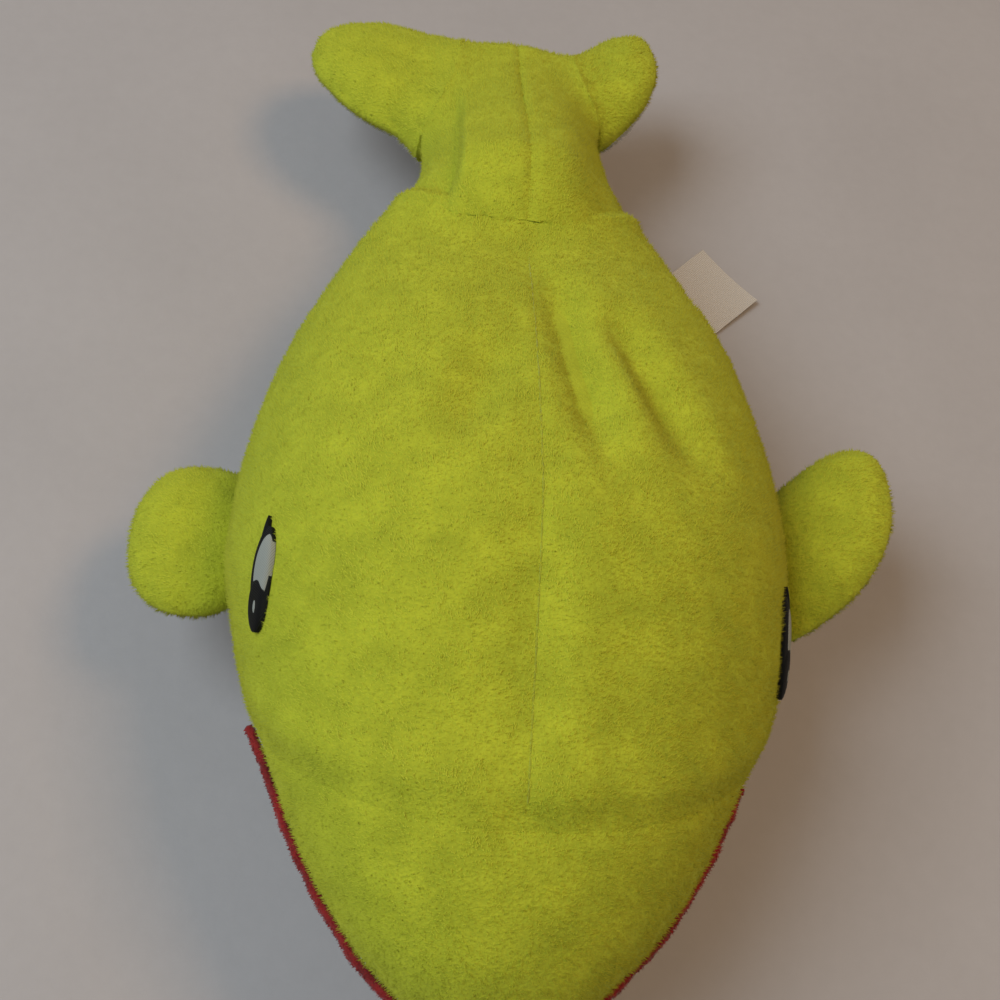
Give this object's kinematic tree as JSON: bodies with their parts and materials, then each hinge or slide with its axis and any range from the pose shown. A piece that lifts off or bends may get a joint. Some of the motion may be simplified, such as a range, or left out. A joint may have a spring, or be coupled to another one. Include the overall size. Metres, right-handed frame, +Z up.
{
  "type": "plush dolphin",
  "caption": "Stuffed plush dolphin lying on its belly, neon yellow-green above and white below, with bending tail, flukes and flippers and a bare care label.",
  "frame": {"origin": "on the floor, in the middle of the flat belly patch under the widest station of the body", "axes": "+Z up, nose towards -Y, the animal's left towards +X"},
  "size_m": [0.1257, 0.1974, 0.0632],
  "materials": {
    "neon_plush": "short-pile polyester plush, neon yellow-green",
    "white_plush": "short-pile polyester plush, white",
    "polyester_fibrefill": "loose white polyester filling",
    "red_embroidery": "fuzzy red embroidery yarn",
    "black_embroidery": "black satin stitch",
    "white_embroidery": "white satin stitch",
    "satin_label": "cream woven satin ribbon, bare",
    "sewing_thread": "olive polyester thread"
  },
  "bodies": {
    "body": {"back_panel_left": "neon_plush", "back_panel_right": "neon_plush", "snout_top_panel": "neon_plush", "belly_panel": "white_plush", "body_stuffing": "polyester_fibrefill", "mouth_stitching": "red_embroidery", "dorsal_seam_thread": "sewing_thread", "forehead_seam_thread": "sewing_thread", "eye_outline_left": "black_embroidery", "eye_white_left": "white_embroidery", "eye_pupil_left": "black_embroidery", "eye_glint_left": "white_embroidery", "eye_outline_right": "black_embroidery", "eye_white_right": "white_embroidery", "eye_pupil_right": "black_embroidery", "eye_glint_right": "white_embroidery"},
    "tail": {"tail_panel_left": "neon_plush", "tail_panel_right": "neon_plush", "tail_belly_panel": "white_plush", "tail_stuffing": "polyester_fibrefill"},
    "fluke_left": {"fluke_left_top": "neon_plush", "fluke_left_underside": "white_plush", "fluke_left_stuffing": "polyester_fibrefill"},
    "fluke_right": {"fluke_right_top": "neon_plush", "fluke_right_underside": "white_plush", "fluke_right_stuffing": "polyester_fibrefill"},
    "flipper_left": {"flipper_left_top": "neon_plush", "flipper_left_underside": "white_plush", "flipper_left_stuffing": "polyester_fibrefill"},
    "flipper_right": {"flipper_right_top": "neon_plush", "flipper_right_underside": "white_plush", "flipper_right_stuffing": "polyester_fibrefill"},
    "label": {"care_label": "satin_label"}
  },
  "joints": [
    {"name": "tail_bend", "type": "hinge", "parent": "body", "child": "tail", "pos_m": [0, 0.073, 0.0275], "axis": [1, 0, 0], "range_deg": [-28, 28], "stiffness_Nm_per_rad": 0.15},
    {"name": "fluke_left_bend", "type": "hinge", "parent": "tail", "child": "fluke_left", "pos_m": [0.01623, 0.10753, 0.02141], "axis": [0.1718, -0.9702, 0.1711], "range_deg": [-25, 25], "stiffness_Nm_per_rad": 0.03},
    {"name": "fluke_right_bend", "type": "hinge", "parent": "tail", "child": "fluke_right", "pos_m": [-0.01623, 0.10753, 0.02141], "axis": [0.1718, 0.9702, -0.1711], "range_deg": [-25, 25], "stiffness_Nm_per_rad": 0.03},
    {"name": "flipper_left_bend", "type": "hinge", "parent": "body", "child": "flipper_left", "pos_m": [0.0468, 0.009, 0.022], "axis": [0, -0.9848, 0.1736], "range_deg": [-30, 30], "stiffness_Nm_per_rad": 0.03},
    {"name": "flipper_right_bend", "type": "hinge", "parent": "body", "child": "flipper_right", "pos_m": [-0.04692, 0.0065, 0.022], "axis": [0, 0.9848, -0.1736], "range_deg": [-30, 30], "stiffness_Nm_per_rad": 0.03},
    {"name": "label_flap", "type": "hinge", "parent": "body", "child": "label", "pos_m": [0.02376, 0.06154, 0.0304], "axis": [0.7, -0.7142, 0], "range_deg": [0, 45]}
  ]
}
